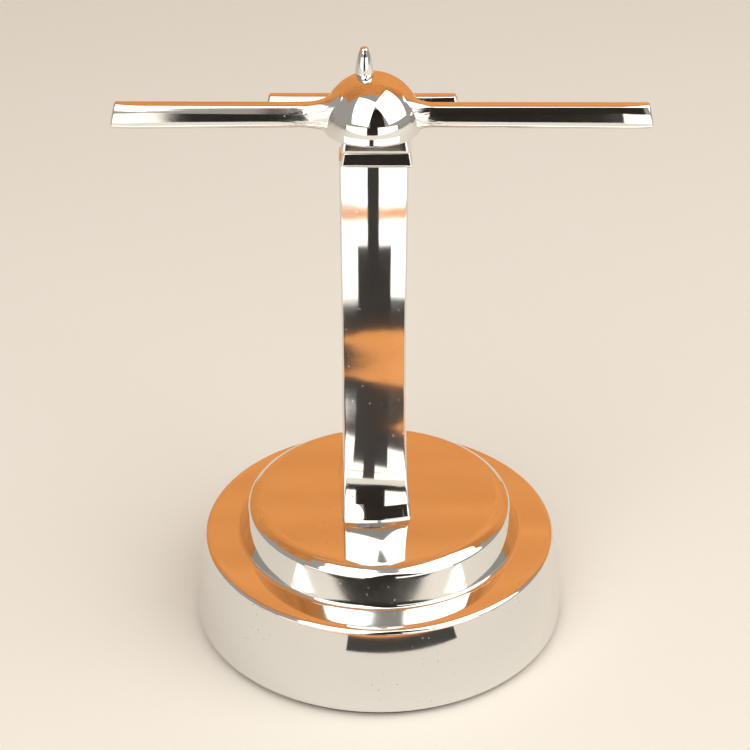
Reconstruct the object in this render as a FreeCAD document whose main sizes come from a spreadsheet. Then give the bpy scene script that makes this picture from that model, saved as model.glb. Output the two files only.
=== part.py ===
import FreeCAD, Part
import math
import os
import re

import Sketcher
from FreeCAD import Vector

# Razor stand: a weighted round base, a waisted post and a domed hub with four arms.
# The origin is the middle of the foot pad's underside, on the surface the stand rests on.
# +Z is up, the front of the stand is -Y and the long arms run along X.

document = FreeCAD.newDocument("razor_stand")

# ---------------------------------------------------------------- driving sizes, in mm

sizes = {
    # base, from the table upwards
    "padThickness": (1.0, "glued foot pad"),
    "padRadius": (33.5, "glued foot pad"),
    "drumFootRadius": (35.0, "outside of the drum at its foot"),
    "drumLedgeRadius": (32.6, "outside of the drum at the ledge"),
    "drumHeight": (16.9, "foot to ledge"),
    "drumBulge": (150.0, "radius of the drum's slightly convex side"),
    "drumFootRounding": (0.8, "rounding of the drum's lowest edge"),
    "drumLedgeRounding": (1.0, "rounding of the ledge's outer edge"),
    "drumTopWall": (2.4, "thickness of the ledge"),
    "cavityRadius": (30.0, "inside of the drum"),
    "plateRadius": (31.9, "bottom plate"),
    "plateThickness": (1.6, "bottom plate"),
    "plateClearance": (0.1, "round the bottom plate in its recess"),
    "plateauFootRadius": (26.2, "raised part, where it meets the ledge"),
    "plateauTaper": (1.9, "how much its side leans in from there to the shoulder"),
    "plateauFootFillet": (0.8, "hollow fillet where it meets the ledge"),
    "plateauShoulderWidth": (1.7, "rounded shoulder, from the side in to the flat top"),
    "plateauShoulderDrop": (1.2, "flat top to where the shoulder meets the side"),
    "plateauHeight": (7.0, "ledge to flat top"),
    "spigotRadius": (20.0, "locating step under the raised part"),
    "spigotClearance": (0.1, "round that step in the ledge's opening"),
    "ballastClearance": (0.4, "round the weight in the drum"),
    # screws and pins
    "screwRadius": (2.5, "post screw and hub stud"),
    "screwClearance": (0.25, "round the post screw where it passes through"),
    "screwHeadRadius": (4.25, "cap head"),
    "screwHeadHeight": (5.0, "cap head"),
    "screwSocketWidth": (4.0, "hexagon across its flats"),
    "screwSocketDepth": (2.5, "hexagon"),
    "screwLength": (25.0, "under the head"),
    "screwHeadGap": (0.7, "between the head and the bottom plate"),
    "washerRadius": (5.0, "flat washer"),
    "washerThickness": (1.0, "flat washer"),
    "lockWasherRadius": (4.4, "split washer"),
    "lockWasherThickness": (1.2, "split washer"),
    "lockWasherSplit": (0.8, "width of its split"),
    "counterboreClearance": (0.5, "round the flat washer in the weight"),
    "tapDrillTip": (1.2, "spare depth beyond each threaded end"),
    "pinRadius": (1.0, "locating pin"),
    "pinLength": (7.0, "locating pin"),
    "pinDepth": (4.0, "how far it stands in the raised part"),
    "pinOffset": (4.8, "from the post's axis to the pin"),
    "plateScrewRadius": (1.5, "countersunk screw"),
    "plateScrewLength": (8.0, "countersunk screw, over all"),
    "plateScrewHeadRadius": (2.8, "countersunk head"),
    "plateScrewHeadHeight": (1.3, "countersunk head"),
    "plateScrewSlot": (0.7, "driver slot's width"),
    "plateScrewSlotDepth": (0.5, "driver slot's depth"),
    "plateScrewCircle": (22.0, "radius the three screws stand on"),
    "plateScrewCount": (3, "number of those screws"),
    # post
    "postShift": (-0.95, "post's axis from the base's axis, along X"),
    "postHeight": (69.8, "flat top to collar"),
    "postWidth": (11.5, "side to side"),
    "postTopWidth": (11.8, "side to side, under the collar"),
    "postFootWidth": (12.6, "side to side, at its foot"),
    "postFootDepth": (18.8, "front to back, at its foot"),
    "postSlimDepth": (7.2, "front to back, above the foot's curve"),
    "postTopDepth": (6.7, "front to back, under the collar"),
    "postFlare": (9.0, "height of the foot's outward curve"),
    "postSlimHeight": (45.0, "height where the foot's curve has died away"),
    "postCrown": (31.0, "radius of the crowned front and back"),
    "postEdge": (0.7, "rounding of the four upright edges"),
    "postTwist": (4.0, "turn of the foot about the axis, in degrees"),
    # collar, neck and hub
    "collarShift": (-0.46, "collar's middle from the base's axis, along X"),
    "collarSide": (12.25, "square ring"),
    "collarHeight": (2.55, "square ring"),
    "collarEdge": (0.3, "rounding of its corners"),
    "neckShift": (-0.68, "neck block's middle from the base's axis, along X"),
    "neckSide": (11.8, "square block under the dome"),
    "neckHeight": (2.1, "square block under the dome"),
    "neckEdge": (0.6, "rounding of its corners"),
    "domeShift": (-1.28, "dome's axis from the base's axis, along X"),
    "domeRadius": (8.43, "dome"),
    "domeSkirt": (1.2, "upright part under the round"),
    "domeFootRounding": (0.5, "rounding of the dome's lowest edge"),
    "studDepthPost": (9.0, "how far the hub stud stands in the post"),
    "studDepthDome": (5.4, "how far it stands in the dome"),
    # arms
    "armDepth": (2.45, "front to back"),
    "armHeight": (3.7, "at its root"),
    "armTipHeight": (4.2, "at its tip"),
    "armRounding": (0.5, "rounding of the long edges"),
    "armTipLean": (1.1, "how far the lower edge outreaches the upper"),
    "frontArmSet": (-2.0, "middle of the long arms, along Y"),
    "frontArmRise": (1.4, "dome's underside to the long arms' underside"),
    "frontLeftReach": (45.3, "base's axis to the tip"),
    "frontRightReach": (46.1, "base's axis to the tip"),
    "rearArmHeight": (2.7, "short arms"),
    "rearArmGap": (6.2, "clear slot between long and short arms"),
    "rearArmDrop": (2.05, "long arms' top to short arms' top"),
    "rearLeftReach": (19.6, "base's axis to the tip"),
    "rearRightReach": (13.8, "base's axis to the tip"),
    "studWall": (1.36, "metal left between the hub stud and a long arm's tenon"),
    "rearTenonDepth": (3.4, "how far the short arms stand in the dome"),
    "leftFlareLength": (4.2, "brazed root of the left long arm"),
    "rightFlareLength": (1.6, "brazed root of the right long arm"),
    "leftFlareRadius": (4.2, "that root, where it has run into the dome"),
    "rightFlareRadius": (3.5, "that root, where it has run into the dome"),
    "flareHollow": (0.7, "hollow of a brazed root, as a share of its length and radius"),
    "flareSunk": (2.2, "how far a brazed root runs on into the dome"),
    # finial
    "finialShift": (-1.25, "finial's axis from the dome's axis, along X"),
    "finialRadius": (1.56, "widest place"),
    "finialNeckRadius": (0.65, "thin neck on the dome"),
    "finialNeckHeight": (0.5, "dome to the drop's underside"),
    "finialWaistHeight": (1.3, "dome to the widest place"),
    "finialHeight": (4.93, "dome to the tip"),
    "finialUnderside": (0.97, "radius of the drop's round underside"),
    "finialTipRadius": (0.5, "rounded tip"),
    "finialTipTurn": (20.0, "where the round tip starts, in degrees above level"),
    "finialSwell": (12.0, "radius of the drop's slightly convex side"),
    "finialSpigotDepth": (2.2, "how far its thread stands in the dome"),
}

sheet = document.addObject("Spreadsheet::Sheet", "Sizes")
for line, (name, (number, note)) in enumerate(sizes.items(), start=1):
    sheet.set("A%d" % line, name)
    sheet.set("B%d" % line, str(number))
    sheet.set("C%d" % line, note)
    sheet.setAlias("B%d" % line, name)
document.recompute()

sizeWords = re.compile(r"\b(" + "|".join(sizes) + r")\b")


def fromSheet(text):
    """The same formula with each size's name pointing at its cell."""
    return sizeWords.sub(r"Sizes.\1", text)


def worth(text):
    """What a formula of sizes comes to now."""
    return float(sheet.evalExpression(fromSheet(text)))


def bind(item, name, text):
    """Ties a property or a sketch's dimension to a formula of sizes."""
    item.setExpression(name, fromSheet(text))


# ---------------------------------------------------------------- heights that follow

drumFoot = "padThickness"
ledge = "(padThickness + drumHeight)"
plateauTop = "(padThickness + drumHeight + plateauHeight)"
ballastFoot = "(padThickness + plateThickness)"
ballastHeight = "(drumHeight - drumTopWall - plateThickness)"
screwHeadFoot = "(padThickness + plateThickness + screwHeadGap)"
screwHeadTop = "(padThickness + plateThickness + screwHeadGap + screwHeadHeight)"
lockWasherTop = "(" + screwHeadTop + " + lockWasherThickness)"
counterboreRoof = "(" + lockWasherTop + " + washerThickness)"
screwTip = "(" + screwHeadTop + " + screwLength)"
postTop = "(" + plateauTop + " + postHeight)"
collarTop = "(" + postTop + " + collarHeight)"
domeFoot = "(" + collarTop + " + neckHeight)"
rearArmSet = "(frontArmSet + armDepth + rearArmGap)"
# a cut that opens through a curved surface runs past it by this factor
past = " * 1.2"

# ---------------------------------------------------------------- tools for making pieces


def newBody(label):
    body = document.addObject("PartDesign::Body", label)
    body.Label = label
    return body


def put(item, across="0", along="0", up="0", turn="0"):
    """Stands a piece at its place: formulas for X, Y, Z and the turn about Z."""
    bind(item, ".Placement.Base.x", across)
    bind(item, ".Placement.Base.y", along)
    bind(item, ".Placement.Base.z", up)
    bind(item, ".Placement.Rotation.Angle", turn)


def originPlane(body, role):
    return next(item for item in body.Origin.OriginFeatures if item.Role == role)


def newSketch(body, name, role="XY_Plane", lift=None):
    """A sketch on one of the body's own planes, lifted off it by a formula if given."""
    sketch = body.newObject("Sketcher::SketchObject", name)
    sketch.AttachmentSupport = [(originPlane(body, role), "")]
    sketch.MapMode = "FlatFace"
    if lift is not None:
        bind(sketch, "AttachmentOffset.Base.z", lift)
    return sketch


def pin(sketch, kind, element, point, formula):
    """Fixes one coordinate of a sketch point; the sheet's value keeps its sign."""
    number = worth(formula)
    if abs(number) < 1e-9:
        axis = -2 if kind == "DistanceX" else -1
        sketch.addConstraint(Sketcher.Constraint("PointOnObject", element, point, axis))
        return
    if number > 0:
        rule = Sketcher.Constraint(kind, -1, 1, element, point, number)
    else:
        rule = Sketcher.Constraint(kind, element, point, -1, 1, -number)
        formula = "0 - (" + formula + ")"
    index = sketch.addConstraint(rule)
    bind(sketch, "Constraints[%d]" % index, formula)


def arcBetween(start, end, radius, bulge):
    """Arc from start to end; bulge is +1 or -1 for the side its middle lies on."""
    chord = end - start
    half = chord.Length / 2
    rise = math.sqrt(max(radius ** 2 - half ** 2, 0))
    side = Vector(-chord.y, chord.x, 0).normalize() * bulge
    centre = (start + end) * 0.5 - side * rise
    return Part.Arc(start, centre + side * radius, end)


def outline(sketch, corners, arcs=None):
    """Closed outline through corners given as formula pairs, each fixed by two dimensions.

    arcs maps a side's number to (radius formula, bulge), where that side is round.
    """
    arcs = arcs or {}
    points = [Vector(worth(across), worth(up), 0) for across, up in corners]
    count = len(points)
    starts = []
    for side in range(count):
        start = points[side]
        end = points[(side + 1) % count]
        if side not in arcs:
            sketch.addGeometry(Part.LineSegment(start, end))
            starts.append((1, 2))
            continue
        radius, bulge = arcs[side]
        edge = arcBetween(start, end, worth(radius), bulge)
        circle = edge.toShape().Curve
        backwards = circle.Axis.z < 0
        plain = Part.Circle(circle.Center, Vector(0, 0, 1), circle.Radius)
        first = plain.parameter(start)
        last = plain.parameter(end)
        if backwards:
            sketch.addGeometry(Part.ArcOfCircle(plain, last, first))
            starts.append((2, 1))
        else:
            sketch.addGeometry(Part.ArcOfCircle(plain, first, last))
            starts.append((1, 2))
    for side in range(count):
        following = (side + 1) % count
        sketch.addConstraint(
            Sketcher.Constraint("Coincident", side, starts[side][1], following, starts[following][0]))
    for side, (across, up) in enumerate(corners):
        pin(sketch, "DistanceX", side, starts[side][0], across)
        pin(sketch, "DistanceY", side, starts[side][0], up)
    for side, (radius, bulge) in arcs.items():
        index = sketch.addConstraint(Sketcher.Constraint("Radius", side, worth(radius)))
        bind(sketch, "Constraints[%d]" % index, radius)


def ring(sketch, radius, across="0", along="0"):
    """A circle, fixed by its centre and radius."""
    centre = Vector(worth(across), worth(along), 0)
    element = sketch.addGeometry(Part.Circle(centre, Vector(0, 0, 1), worth(radius)))
    pin(sketch, "DistanceX", element, 3, across)
    pin(sketch, "DistanceY", element, 3, along)
    index = sketch.addConstraint(Sketcher.Constraint("Radius", element, worth(radius)))
    bind(sketch, "Constraints[%d]" % index, radius)


def turned(body, name, corners, arcs=None):
    """A piece turned about Z: its half outline, as radius and height, spun once round."""
    sketch = newSketch(body, name + "Outline", "XZ_Plane")
    outline(sketch, corners, arcs)
    turning = body.newObject("PartDesign::Revolution", name)
    turning.Profile = sketch
    turning.ReferenceAxis = (sketch, ["V_Axis"])
    turning.Angle = 360
    document.recompute()
    return turning


def padded(body, name, sketch, length, middle=False):
    pad = body.newObject("PartDesign::Pad", name)
    pad.Profile = sketch
    bind(pad, "Length", length)
    pad.Midplane = middle
    document.recompute()
    return pad


def cutUp(body, name, sketch, length):
    """A pocket that runs upwards from its sketch; stops the build if it cuts nothing."""
    before = body.Shape.Volume
    pocket = body.newObject("PartDesign::Pocket", name)
    pocket.Profile = sketch
    bind(pocket, "Length", length)
    pocket.Reversed = True
    document.recompute()
    if not body.Shape.Volume < before - 1e-3:
        raise RuntimeError(name + " cuts nothing")
    return pocket


def rounded(body, name, base, edges, radius):
    """Rounds the edges of a feature for which the test is true."""
    chosen = ["Edge%d" % (place + 1) for place, edge in enumerate(base.Shape.Edges) if edges(edge)]
    if not chosen:
        raise RuntimeError(name + " finds no edges")
    fillet = body.newObject("PartDesign::Fillet", name)
    fillet.Base = (base, chosen)
    bind(fillet, "Radius", radius)
    document.recompute()
    return fillet


def roundedRing(radius, height):
    """A test for a full circle about Z of this radius at this height."""
    wide = worth(radius)
    high = worth(height)

    def test(edge):
        if edge.Degenerated or not isinstance(edge.Curve, Part.Circle):
            return False
        middle = edge.Curve.Center
        near = abs(edge.Curve.Radius - wide) < 1e-3 and abs(middle.z - high) < 1e-3
        return near and math.hypot(middle.x, middle.y) < 1e-3

    return test


def upright(edge):
    """A test for edges that mostly run upwards."""
    start = edge.Vertexes[0].Point
    end = edge.Vertexes[-1].Point
    return abs(end.z - start.z) > 0.5 * edge.Length and edge.Length > 0


# ---------------------------------------------------------------- base


def makeFootPad():
    body = newBody("foot_pad")
    sketch = newSketch(body, "padOutline")
    ring(sketch, "padRadius")
    padded(body, "padDisc", sketch, "padThickness")
    put(body)
    return body


def makeBottomPlate():
    body = newBody("bottom_plate")
    sketch = newSketch(body, "plateOutline")
    ring(sketch, "plateRadius")
    padded(body, "plateDisc", sketch, "plateThickness")
    cone = newSketch(body, "countersinkOutline", "XZ_Plane")
    inner = "plateScrewCircle"
    outline(cone, [(inner, "0"),
                   (inner + " + plateScrewHeadRadius", "0"),
                   (inner + " + plateScrewRadius", "plateScrewHeadHeight"),
                   (inner + " + plateScrewRadius", "plateThickness"),
                   (inner, "plateThickness")])
    countersink = body.newObject("PartDesign::Groove", "countersink")
    countersink.Profile = cone
    countersink.ReferenceAxis = (cone, ["Edge%d" % len(cone.Geometry)])
    countersink.Angle = 360
    document.recompute()
    repeatRound(body, "countersinks", body.Group[-1])
    put(body, up=drumFoot)
    return body


def repeatRound(body, name, feature):
    """Repeats a feature round the Z axis, once for each plate screw."""
    pattern = body.newObject("PartDesign::PolarPattern", name)
    pattern.Originals = [feature]
    axis = next(item for item in body.Origin.OriginFeatures if item.Role == "Z_Axis")
    pattern.Axis = (axis, [""])
    pattern.Angle = 360
    bind(pattern, "Occurrences", "plateScrewCount")
    body.Tip = pattern
    document.recompute()
    return pattern


def makeDrum():
    body = newBody("base_drum")
    recess = "plateRadius + plateClearance"
    opening = "spigotRadius + spigotClearance"
    roof = "drumHeight - drumTopWall"
    turning = turned(body, "drumWall", [
        (recess, "0"),
        ("drumFootRadius", "0"),
        ("drumLedgeRadius", "drumHeight"),
        (opening, "drumHeight"),
        (opening, roof),
        ("cavityRadius", roof),
        ("cavityRadius", "plateThickness"),
        (recess, "plateThickness"),
    ], arcs={1: ("drumBulge", -1)})
    foot = rounded(body, "drumFootEdge", turning, roundedRing("drumFootRadius", "0"), "drumFootRounding")
    rounded(body, "drumLedgeEdge", foot, roundedRing("drumLedgeRadius", "drumHeight"), "drumLedgeRounding")
    put(body, up=drumFoot)
    return body


def makePlateau():
    body = newBody("base_plateau")
    neck = "plateauFootRadius - plateauTaper"
    # an arc that runs level into the flat top
    shoulder = "(plateauShoulderWidth ^ 2 + plateauShoulderDrop ^ 2) / (2 * plateauShoulderDrop)"
    turned(body, "plateauRound", [
        ("0", "0 - drumTopWall"),
        ("spigotRadius", "0 - drumTopWall"),
        ("spigotRadius", "0"),
        ("plateauFootRadius + plateauFootFillet", "0"),
        ("plateauFootRadius", "plateauFootFillet"),
        (neck, "plateauHeight - plateauShoulderDrop"),
        (neck + " - plateauShoulderWidth", "plateauHeight"),
        ("0", "plateauHeight"),
    ], arcs={3: ("plateauFootFillet", 1), 5: (shoulder, -1)})
    screw = newSketch(body, "postScrewHole", lift="0 - drumTopWall")
    ring(screw, "screwRadius + screwClearance", "postShift")
    cutUp(body, "postScrewBore", screw, "drumTopWall + plateauHeight")
    hole = newSketch(body, "pinHole", lift="plateauHeight - pinDepth")
    ring(hole, "pinRadius", "postShift - pinOffset * sin(postTwist * 1deg)",
         "pinOffset * cos(postTwist * 1deg)")
    cutUp(body, "pinBore", hole, "pinDepth")
    put(body, up=ledge)
    return body


def makeBallast():
    body = newBody("ballast_weight")
    disc = newSketch(body, "weightOutline")
    ring(disc, "cavityRadius - ballastClearance")
    padded(body, "weightDisc", disc, ballastHeight)
    head = newSketch(body, "counterboreOutline")
    ring(head, "washerRadius + counterboreClearance", "postShift")
    cutUp(body, "counterbore", head, counterboreRoof + " - " + ballastFoot)
    through = newSketch(body, "weightScrewHole")
    ring(through, "screwRadius + screwClearance", "postShift")
    cutUp(body, "weightBore", through, ballastHeight)
    tapped = newSketch(body, "plateScrewHole")
    ring(tapped, "plateScrewRadius", "plateScrewCircle")
    cutUp(body, "plateScrewBore", tapped, "plateScrewLength - plateThickness + tapDrillTip")
    repeatRound(body, "plateScrewBores", body.Group[-1])
    put(body, up=ballastFoot)
    return body


def makePlateScrews():
    """The three identical countersunk screws, each a separate solid of one node."""
    screws = []
    count = int(worth("plateScrewCount"))
    for number in range(count):
        body = newBody("plate_screw_%d" % (number + 1))
        turned(body, "screwRound", [
            ("0", "0"),
            ("plateScrewHeadRadius", "0"),
            ("plateScrewRadius", "plateScrewHeadHeight"),
            ("plateScrewRadius", "plateScrewLength"),
            ("0", "plateScrewLength"),
        ])
        slot = newSketch(body, "slotOutline")
        wide = "plateScrewSlot / 2"
        outline(slot, [("0 - plateScrewHeadRadius", "0 - " + wide), ("plateScrewHeadRadius", "0 - " + wide),
                       ("plateScrewHeadRadius", wide), ("0 - plateScrewHeadRadius", wide)])
        cutUp(body, "driverSlot", slot, "plateScrewSlotDepth")
        turn = "360 * %d / plateScrewCount" % number
        put(body, "plateScrewCircle * cos((%s) * 1deg)" % turn, "plateScrewCircle * sin((%s) * 1deg)" % turn,
            drumFoot, turn)
        screws.append(body)
    group = document.addObject("Part::Compound", "bottom_plate_screws")
    group.Label = "bottom_plate_screws"
    group.Links = screws
    return group


# ---------------------------------------------------------------- what holds the post


def makePostScrew():
    body = newBody("post_screw")
    turned(body, "screwRound", [
        ("0", "0"),
        ("screwHeadRadius", "0"),
        ("screwHeadRadius", "screwHeadHeight"),
        ("screwRadius", "screwHeadHeight"),
        ("screwRadius", "screwHeadHeight + screwLength"),
        ("0", "screwHeadHeight + screwLength"),
    ])
    socket = newSketch(body, "socketOutline")
    reach = "screwSocketWidth / (2 * cos(30deg))"
    corners = []
    for step in range(6):
        turn = "%ddeg" % (60 * step)
        corners.append((reach + " * cos(" + turn + ")", reach + " * sin(" + turn + ")"))
    outline(socket, corners)
    cutUp(body, "socket", socket, "screwSocketDepth")
    put(body, "postShift", "0", screwHeadFoot)
    return body


def makeFlatWasher():
    body = newBody("post_flat_washer")
    sketch = newSketch(body, "washerOutline")
    ring(sketch, "washerRadius")
    ring(sketch, "screwRadius + screwClearance")
    padded(body, "washerRing", sketch, "washerThickness")
    put(body, "postShift", "0", lockWasherTop)
    return body


def makeLockWasher():
    body = newBody("post_lock_washer")
    sketch = newSketch(body, "washerOutline")
    ring(sketch, "lockWasherRadius")
    ring(sketch, "screwRadius + screwClearance")
    padded(body, "washerRing", sketch, "lockWasherThickness")
    split = newSketch(body, "splitOutline")
    wide = "lockWasherSplit / 2"
    outline(split, [("0", "0 - " + wide), ("lockWasherRadius" + past, "0 - " + wide),
                    ("lockWasherRadius" + past, wide), ("0", wide)])
    cutUp(body, "split", split, "lockWasherThickness")
    put(body, "postShift", "0", screwHeadTop)
    return body


def makeLocatingPin():
    body = newBody("post_locating_pin")
    sketch = newSketch(body, "pinOutline")
    ring(sketch, "pinRadius")
    padded(body, "pinRod", sketch, "pinLength")
    put(body, "postShift - pinOffset * sin(postTwist * 1deg)", "pinOffset * cos(postTwist * 1deg)",
        plateauTop + " - pinDepth")
    return body


# ---------------------------------------------------------------- post

# Each section of the post: height, width, half depth and share of the foot's twist.
# Each section: height, width, half its depth, and share of the twist.
slimReach = "postSlimDepth / 2"
footGain = "(postFootDepth - postSlimDepth) / 2"
footSpread = "(postFootWidth - postWidth)"
postSections = [
    ("0", "postFootWidth", "postFootDepth / 2", "1"),
    ("postFlare * 0.35", "postWidth + " + footSpread + " * 0.6",
     slimReach + " + " + footGain + " * 0.69", "0.9"),
    ("postFlare", "postWidth + " + footSpread + " * 0.18",
     slimReach + " + " + footGain + " * 0.4", "0.7"),
    ("postFlare * 2", "postWidth", slimReach + " + " + footGain + " * 0.175", "0.4"),
    ("postFlare * 3", "postWidth", slimReach + " + " + footGain + " * 0.045", "0.15"),
    ("postSlimHeight", "postWidth", slimReach, "0"),
    ("postHeight", "postTopWidth", "postTopDepth / 2", "0"),
]


def makePost():
    body = newBody("post")
    sketches = []
    for number, (height, width, reach, twist) in enumerate(postSections):
        sketch = newSketch(body, "section%d" % number, lift=height)
        bind(sketch, "AttachmentOffset.Rotation.Angle", "postTwist * " + twist)
        side = "(" + width + ") / 2"
        flat = side + " - postEdge"
        # the crown stands out in the middle, so its ends lie a little further back
        front = "(%s) - (postCrown - sqrt(postCrown ^ 2 - (%s) ^ 2))" % (reach, flat)
        edge = "(" + front + ") - postEdge"
        quarter = [(flat, front), (side, edge)]
        corners = [(across, "0 - (" + along + ")") for across, along in quarter]
        corners += reversed(quarter)
        corners += [("0 - (" + across + ")", along) for across, along in quarter]
        corners += [("0 - (" + across + ")", "0 - (" + along + ")") for across, along in reversed(quarter)]
        outline(sketch, corners, arcs={0: ("postEdge", -1), 2: ("postEdge", -1), 3: ("postCrown", -1),
                                       4: ("postEdge", -1), 6: ("postEdge", -1), 7: ("postCrown", -1)})
        sketches.append(sketch)
    loft = body.newObject("PartDesign::AdditiveLoft", "postBar")
    loft.Profile = sketches[0]
    loft.Sections = sketches[1:]
    document.recompute()
    below = newSketch(body, "screwHole")
    ring(below, "screwRadius")
    cutUp(body, "screwBore", below, screwTip + " - " + plateauTop + " + tapDrillTip")
    pinHole = newSketch(body, "pinHole")
    ring(pinHole, "pinRadius", "0 - pinOffset * sin(postTwist * 1deg)", "pinOffset * cos(postTwist * 1deg)")
    cutUp(body, "pinBore", pinHole, "pinLength - pinDepth")
    above = newSketch(body, "studHole", lift="postHeight - studDepthPost - tapDrillTip")
    ring(above, "screwRadius")
    cutUp(body, "studBore", above, "studDepthPost + tapDrillTip")
    put(body, "postShift", "0", plateauTop)
    return body


def squareBlock(label, side, height, edge, shift, up):
    """A square block with rounded upright corners and a hole for the hub stud."""
    body = newBody(label)
    sketch = newSketch(body, label + "Outline")
    half = side + " / 2"
    outline(sketch, [("0 - " + half, "0 - " + half), (half, "0 - " + half),
                     (half, half), ("0 - " + half, half)])
    block = padded(body, label + "Block", sketch, height)
    rounded(body, label + "Corners", block, upright, edge)
    bore = newSketch(body, label + "Hole")
    ring(bore, "screwRadius + screwClearance", "postShift - " + shift)
    cutUp(body, label + "Bore", bore, height)
    put(body, shift, "0", up)
    return body


def makeHubStud():
    body = newBody("hub_stud")
    sketch = newSketch(body, "studOutline")
    ring(sketch, "screwRadius")
    padded(body, "studRod", sketch, "studDepthPost + collarHeight + neckHeight + studDepthDome")
    put(body, "postShift", "0", postTop + " - studDepthPost")
    return body


# ---------------------------------------------------------------- hub, arms and finial

# In the dome's own frame, whose origin is the middle of its underside.
rearFoot = "(frontArmRise + armHeight - rearArmDrop - rearArmHeight)"
finialFoot = "(domeSkirt + sqrt(domeRadius ^ 2 - finialShift ^ 2))"
domeCorners = [
    ("0", "0"),
    ("domeRadius", "0"),
    ("domeRadius", "domeSkirt"),
    ("0", "domeSkirt + domeRadius"),
]
domeArcs = {2: ("domeRadius", -1)}

def domeReach(along):
    """How far the dome's upright skirt reaches along X at this distance along Y."""
    return "sqrt(domeRadius ^ 2 - (" + along + ") ^ 2)"


frontInner = "(screwRadius + postShift - domeShift + studWall)"
rearInner = domeReach(rearArmSet + " - armDepth / 2") + " - rearTenonDepth"
# The four arms: side of the dome, middle along Y, foot, height at root and tip, inner end and reach.
armPlans = {
    "front_left_arm": (-1, "frontArmSet", "frontArmRise", "armHeight", "armTipHeight", frontInner,
                       "frontLeftReach + domeShift"),
    "front_right_arm": (1, "frontArmSet", "frontArmRise", "armHeight", "armTipHeight", frontInner,
                        "frontRightReach - domeShift"),
    "rear_left_arm": (-1, rearArmSet, rearFoot, "rearArmHeight", "rearArmHeight", rearInner,
                      "rearLeftReach + domeShift"),
    "rear_right_arm": (1, rearArmSet, rearFoot, "rearArmHeight", "rearArmHeight", rearInner,
                       "rearRightReach - domeShift"),
}
# The brazed roots of the long arms: length along the arm, and radius at the dome.
flarePlans = {
    "front_left_arm": ("leftFlareLength", "leftFlareRadius"),
    "front_right_arm": ("rightFlareLength", "rightFlareRadius"),
}


def mirrored(side, text):
    return text if side > 0 else "0 - (" + text + ")"


def makeDome():
    body = newBody("hub_dome")
    turning = turned(body, "domeRound", domeCorners, domeArcs)
    rounded(body, "domeFootEdge", turning, roundedRing("domeRadius", "0"), "domeFootRounding")
    bore = newSketch(body, "studHole")
    ring(bore, "screwRadius", "postShift - domeShift")
    cutUp(body, "studBore", bore, "studDepthDome")
    spigot = newSketch(body, "spigotHole", lift=finialFoot + " - finialSpigotDepth")
    ring(spigot, "finialNeckRadius", "finialShift")
    cutUp(body, "spigotBore", spigot, "finialSpigotDepth" + past)
    for name, (side, middle, foot, height, _, inner, _) in armPlans.items():
        front = middle + " - armDepth / 2"
        back = middle + " + armDepth / 2"
        socket = newSketch(body, name + "_socketOutline", lift=foot)
        low = mirrored(side, inner)
        high = mirrored(side, "domeRadius" + past)
        outline(socket, [(low, front), (high, front), (high, back), (low, back)])
        cutUp(body, name + "_socket", socket, height)
    put(body, "domeShift", "0", domeFoot)
    return body


def makeArm(name):
    """A flat bar with rounded edges, a brazed root if it is a long one, and a square tenon.

    Its own frame has its origin on the dome's axis side, at the middle of the bar's root.
    """
    side, middle, foot, height, tipHeight, inner, reach = armPlans[name]
    body = newBody(name)
    low = "0 - " + height + " / 2"
    sketch = newSketch(body, "sideOutline", "XZ_Plane")
    corners = [
        (inner, low),
        (reach, low),
        (reach + " - armTipLean", low + " + " + tipHeight),
        ("(" + reach + ") / 2", height + " / 2"),
        (inner, height + " / 2"),
    ]
    if tipHeight == height:
        del corners[3]
    outline(sketch, [(mirrored(side, across), up) for across, up in corners])
    bar = padded(body, "bar", sketch, "armDepth", middle=True)
    start = worth(inner)

    def outside(edge):
        """True for every edge that isn't in the face at the tenon's inner end."""
        return max(abs(corner.Point.x) for corner in edge.Vertexes) > start + 1e-3

    rounded(body, "barEdges", bar, outside, "armRounding")
    if name in flarePlans:
        length, wide = flarePlans[name]
        surface = domeReach(middle)
        flare = newSketch(body, "rootOutline", "XZ_Plane")
        outer = surface + " + " + length
        start = surface + " - flareSunk"
        outline(flare, [(mirrored(side, start), "0"),
                        (mirrored(side, outer), "0"),
                        (mirrored(side, outer), "armDepth / 2 - armRounding / 2"),
                        (mirrored(side, start), wide)],
                arcs={2: ("(" + length + " + flareSunk + " + wide + ") * flareHollow", side)})
        root = body.newObject("PartDesign::Revolution", "brazedRoot")
        root.Profile = flare
        root.ReferenceAxis = (flare, ["H_Axis"])
        root.Angle = 360
        document.recompute()
        # the root ends on the dome's own surface
        shape = newSketch(body, "domeOutline", "XZ_Plane", lift=middle)
        seatCorners = [("0", "0 - flareSunk"), ("domeRadius", "0 - flareSunk")] + domeCorners[2:]
        outline(shape, [(across, up + " - (" + foot + " + " + height + " / 2)") for across, up in seatCorners],
                domeArcs)
        before = body.Shape.Volume
        seat = body.newObject("PartDesign::Groove", "domeSeat")
        seat.Profile = shape
        seat.ReferenceAxis = (shape, ["V_Axis"])
        seat.Angle = 360
        document.recompute()
        if not body.Shape.Volume < before - 1e-3:
            raise RuntimeError("the dome's seat cuts nothing")
        peg = newSketch(body, "tenonOutline", "XZ_Plane")
        outline(peg, [(mirrored(side, across), up) for across, up in [
            (inner, low), (surface + " + armRounding", low),
            (surface + " + armRounding", height + " / 2"), (inner, height + " / 2")]])
        padded(body, "tenon", peg, "armDepth", middle=True)
    put(body, "domeShift", middle, domeFoot + " + " + foot + " + " + height + " / 2")
    return body


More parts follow.
